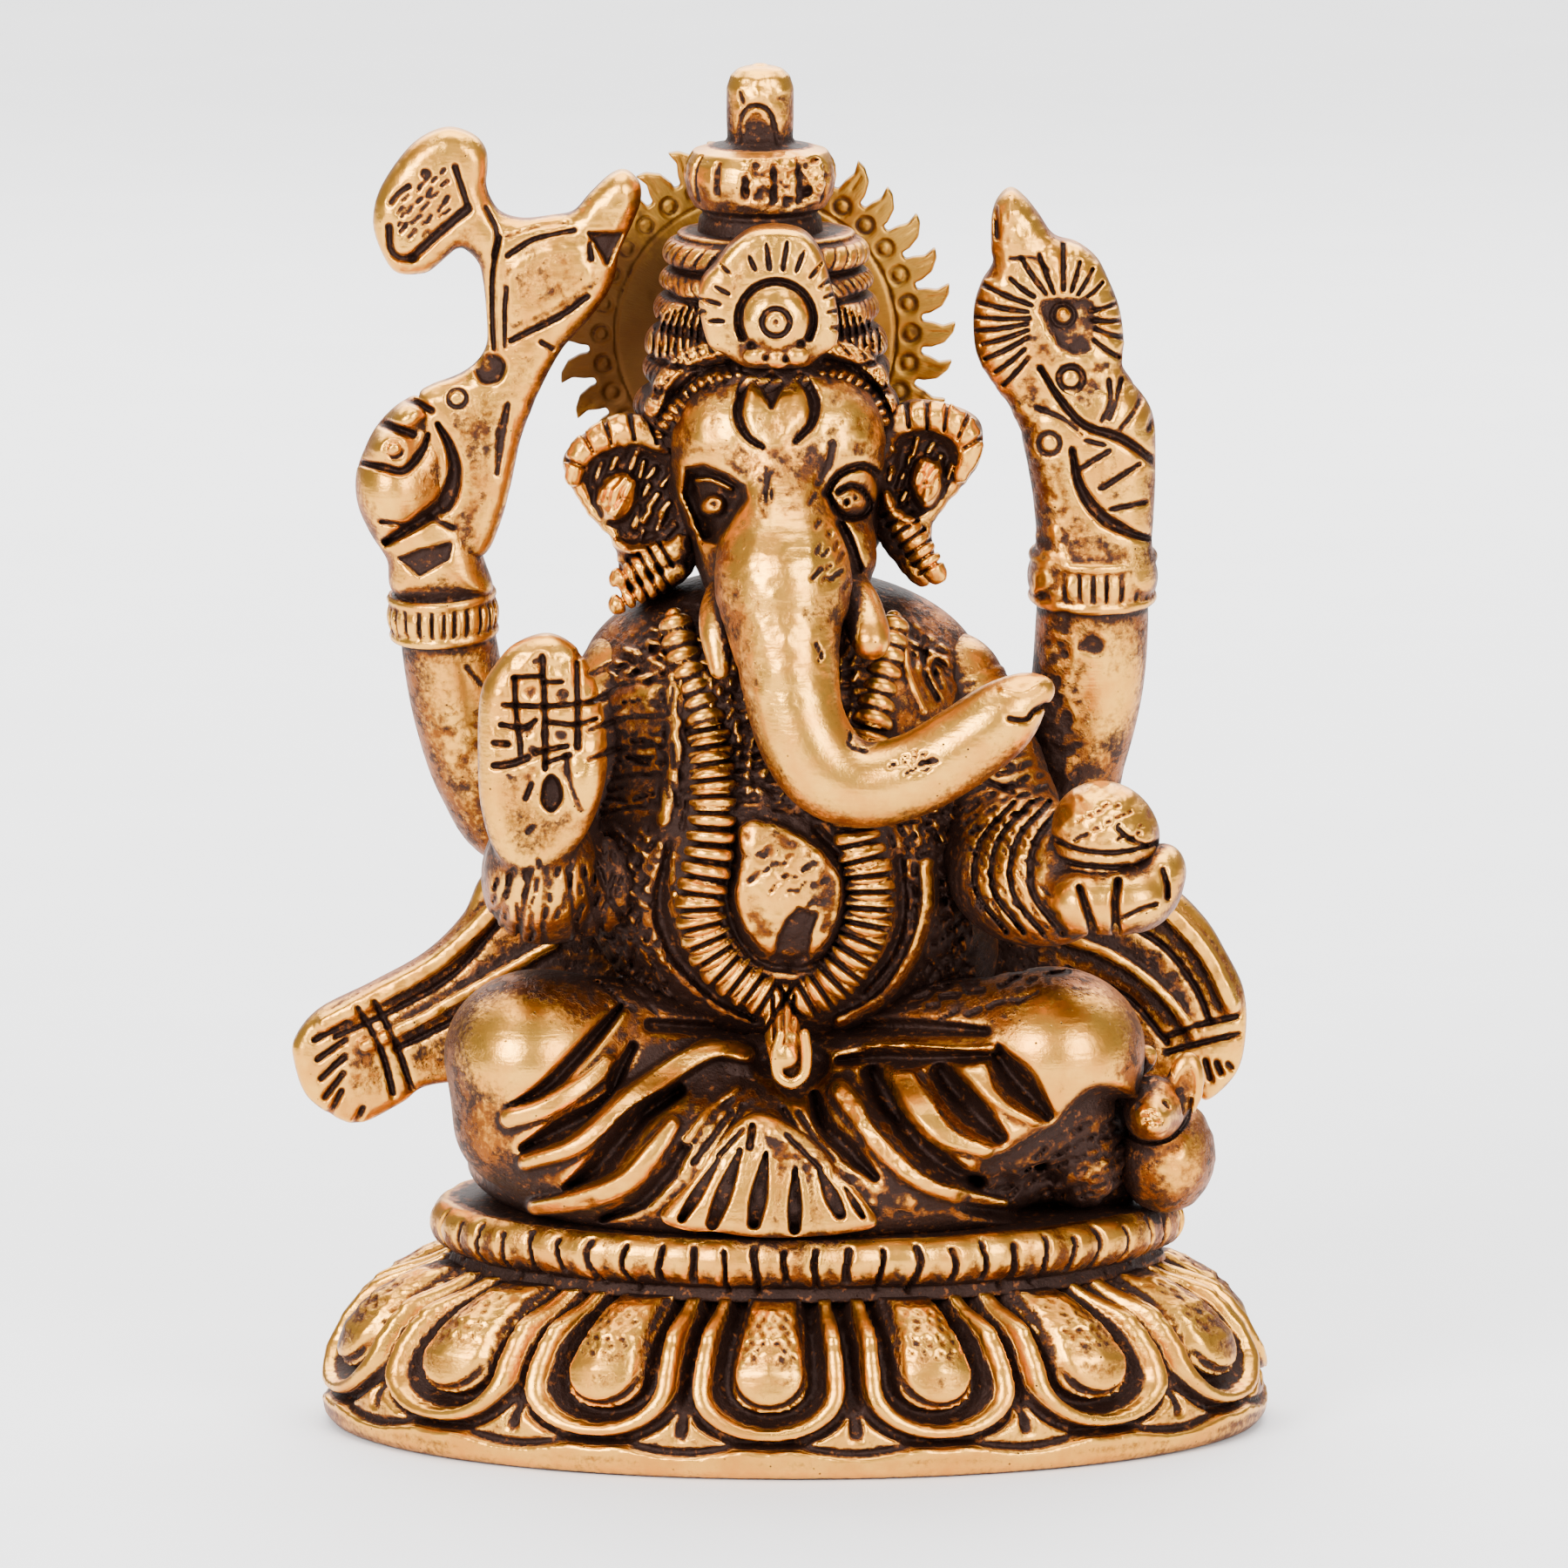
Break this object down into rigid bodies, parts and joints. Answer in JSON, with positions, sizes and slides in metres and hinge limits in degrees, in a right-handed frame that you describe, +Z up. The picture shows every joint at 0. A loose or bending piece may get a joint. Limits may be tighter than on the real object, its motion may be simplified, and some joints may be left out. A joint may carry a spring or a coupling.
{
  "type": "deity statue",
  "caption": "Small antique-gold seated elephant-headed deity idol with toothed halo, axe, lotus and sweet on an oval lotus pedestal.",
  "frame": {"origin": "middle of the whole figure's footprint, at the level of the pedestal's foot", "axes": "+Z up, the figure faces -Y, +X towards the figure's own left hand"},
  "size_m": [0.0642, 0.0406, 0.09],
  "materials": {
    "cast_gold": "worn antique gold, dark in the recesses",
    "halo_brass": "brushed, yellower brass",
    "screw_steel": "plain"
  },
  "bodies": {
    "root": {"lotus_base": "cast_gold", "seat_rim": "cast_gold", "base_screw": "screw_steel", "base_washer": "screw_steel", "folded_legs": "cast_gold", "skirt_pleats": "cast_gold", "torso": "cast_gold", "garland": "cast_gold", "head": "cast_gold", "right_tusk": "cast_gold", "left_tusk": "cast_gold", "right_ear": "cast_gold", "left_ear": "cast_gold", "crown": "cast_gold", "crown_front_plate": "cast_gold", "crown_finial": "cast_gold", "halo_disc": "halo_brass", "halo_rivet": "halo_brass", "rear_right_arm": "cast_gold", "battle_axe": "cast_gold", "rear_left_arm": "cast_gold", "lotus_flower": "cast_gold", "front_right_arm": "cast_gold", "front_left_arm": "cast_gold", "modak_sweet": "cast_gold", "right_shawl_tail": "cast_gold", "left_shawl_tail": "cast_gold", "mouse": "cast_gold"}
  },
  "joints": []
}
